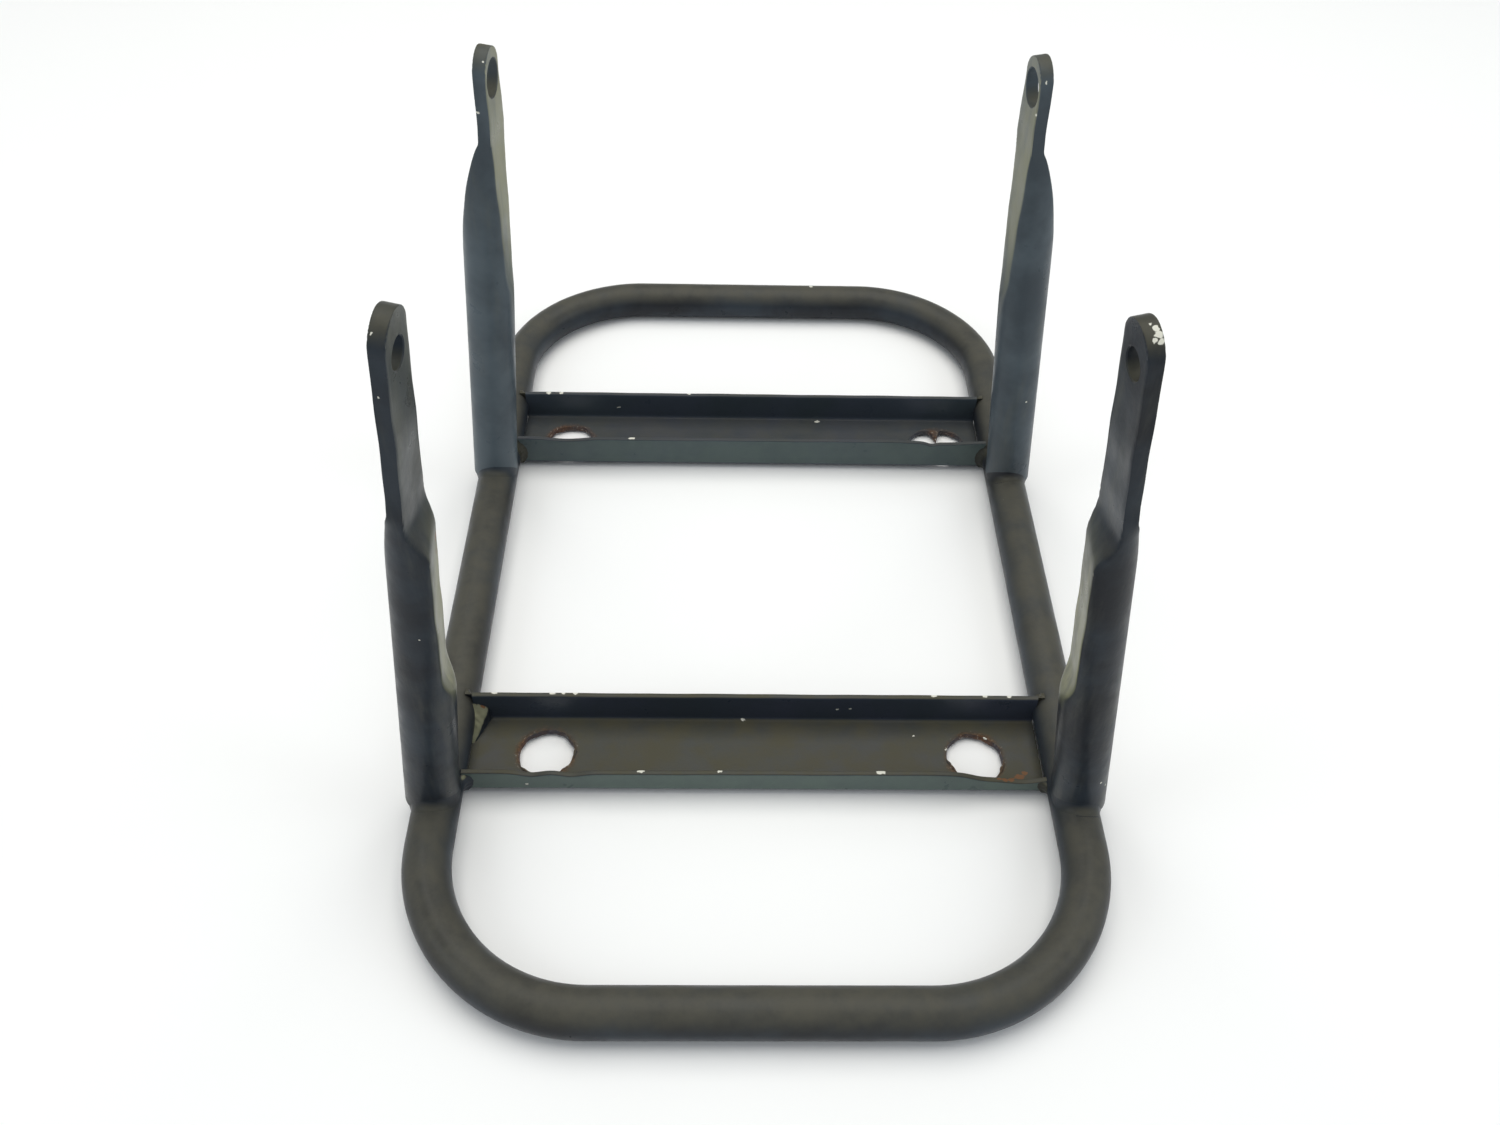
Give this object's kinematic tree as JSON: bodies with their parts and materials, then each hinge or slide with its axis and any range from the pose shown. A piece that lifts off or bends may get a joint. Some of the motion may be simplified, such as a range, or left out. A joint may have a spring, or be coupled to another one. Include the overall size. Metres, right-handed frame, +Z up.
{
  "type": "motorcycle luggage rack",
  "caption": "Motorcycle luggage rack: a round steel tube hoop with folded cross channels, on tubular legs pressed into bolt tabs.",
  "frame": {"origin": "under the middle of the hoop, on the plane that the hoop rests on", "axes": "+X across the rack, +Y along it from the front legs to the rear legs, +Z up from the load side to the leg ends. The rack stands upside down on its load side."},
  "size_m": [0.2392, 0.38, 0.2079],
  "materials": {
    "tube_paint": "satin black, worn",
    "channel_paint": "satin black, worn, rust at cut edges",
    "weld_paint": "satin black over weld"
  },
  "bodies": {
    "root": {"hoop": "tube_paint", "front_channel": "channel_paint", "rear_channel": "channel_paint", "front_left_leg": "tube_paint", "front_right_leg": "tube_paint", "rear_left_leg": "tube_paint", "rear_right_leg": "tube_paint", "front_left_foot_weld": "weld_paint", "front_right_foot_weld": "weld_paint", "rear_left_foot_weld": "weld_paint", "rear_right_foot_weld": "weld_paint", "front_left_channel_weld": "weld_paint", "front_right_channel_weld": "weld_paint", "rear_left_channel_weld": "weld_paint", "rear_right_channel_weld": "weld_paint"}
  },
  "joints": []
}
